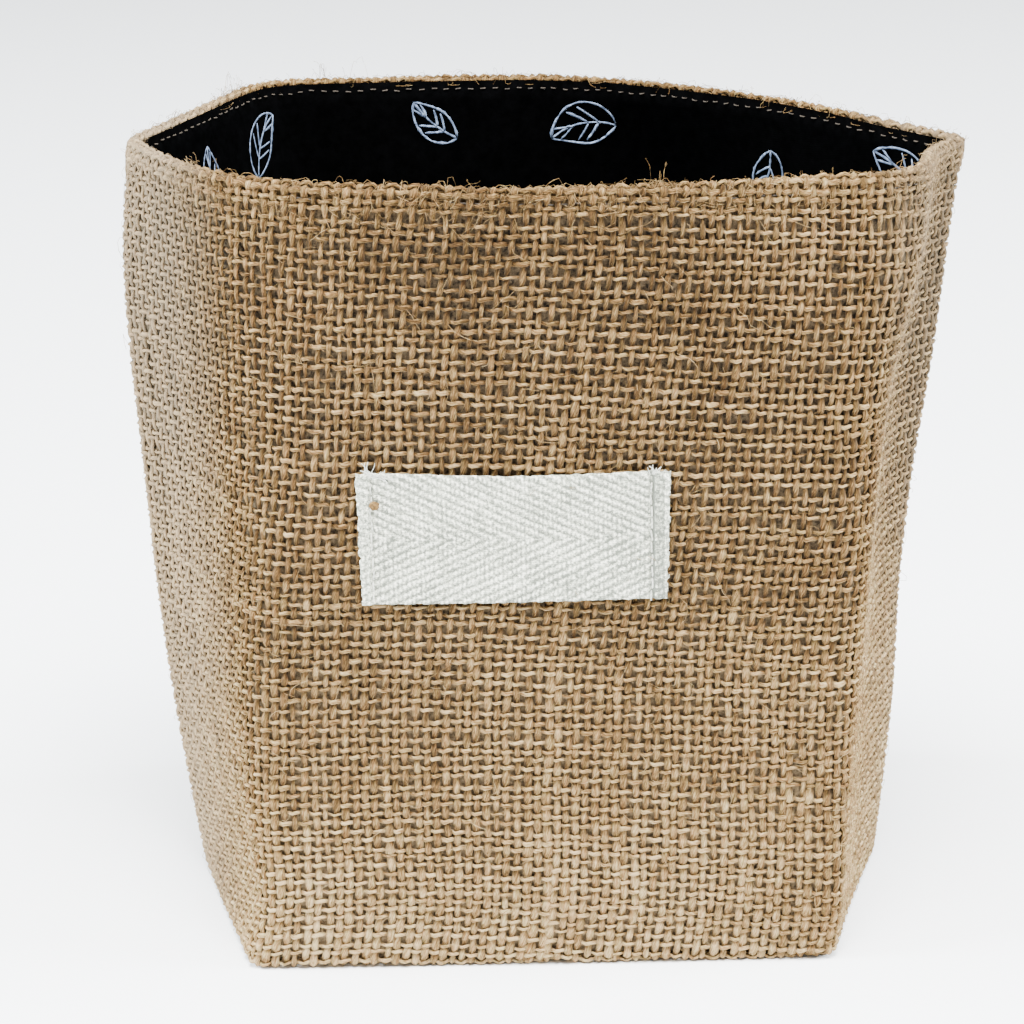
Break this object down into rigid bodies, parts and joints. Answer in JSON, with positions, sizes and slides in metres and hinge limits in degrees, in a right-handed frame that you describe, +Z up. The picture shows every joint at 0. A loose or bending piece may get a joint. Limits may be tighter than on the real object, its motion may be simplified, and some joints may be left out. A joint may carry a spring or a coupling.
{
  "type": "burlap bag",
  "caption": "Small open storage bag of woven burlap with a boxed base, drawn-in gussets, a black cotton lining and a cotton tape patch sewn on the front",
  "frame": {"origin": "the middle of the bag's bounding box seen from above, on the surface that it stands on", "axes": "+Z up, the front with the tape patch faces -Y, +X to the right of someone who faces the front"},
  "size_m": [0.1589, 0.1065, 0.15],
  "materials": {
    "burlap": "coarse plain weave of natural jute yarn, matt and hairy",
    "lining": "smooth matt black cotton",
    "tape": "matt herringbone cotton tape"
  },
  "bodies": {
    "root": {"burlap_front": "burlap", "burlap_back": "burlap", "lining": "lining", "tape_patch": "tape"}
  },
  "joints": []
}
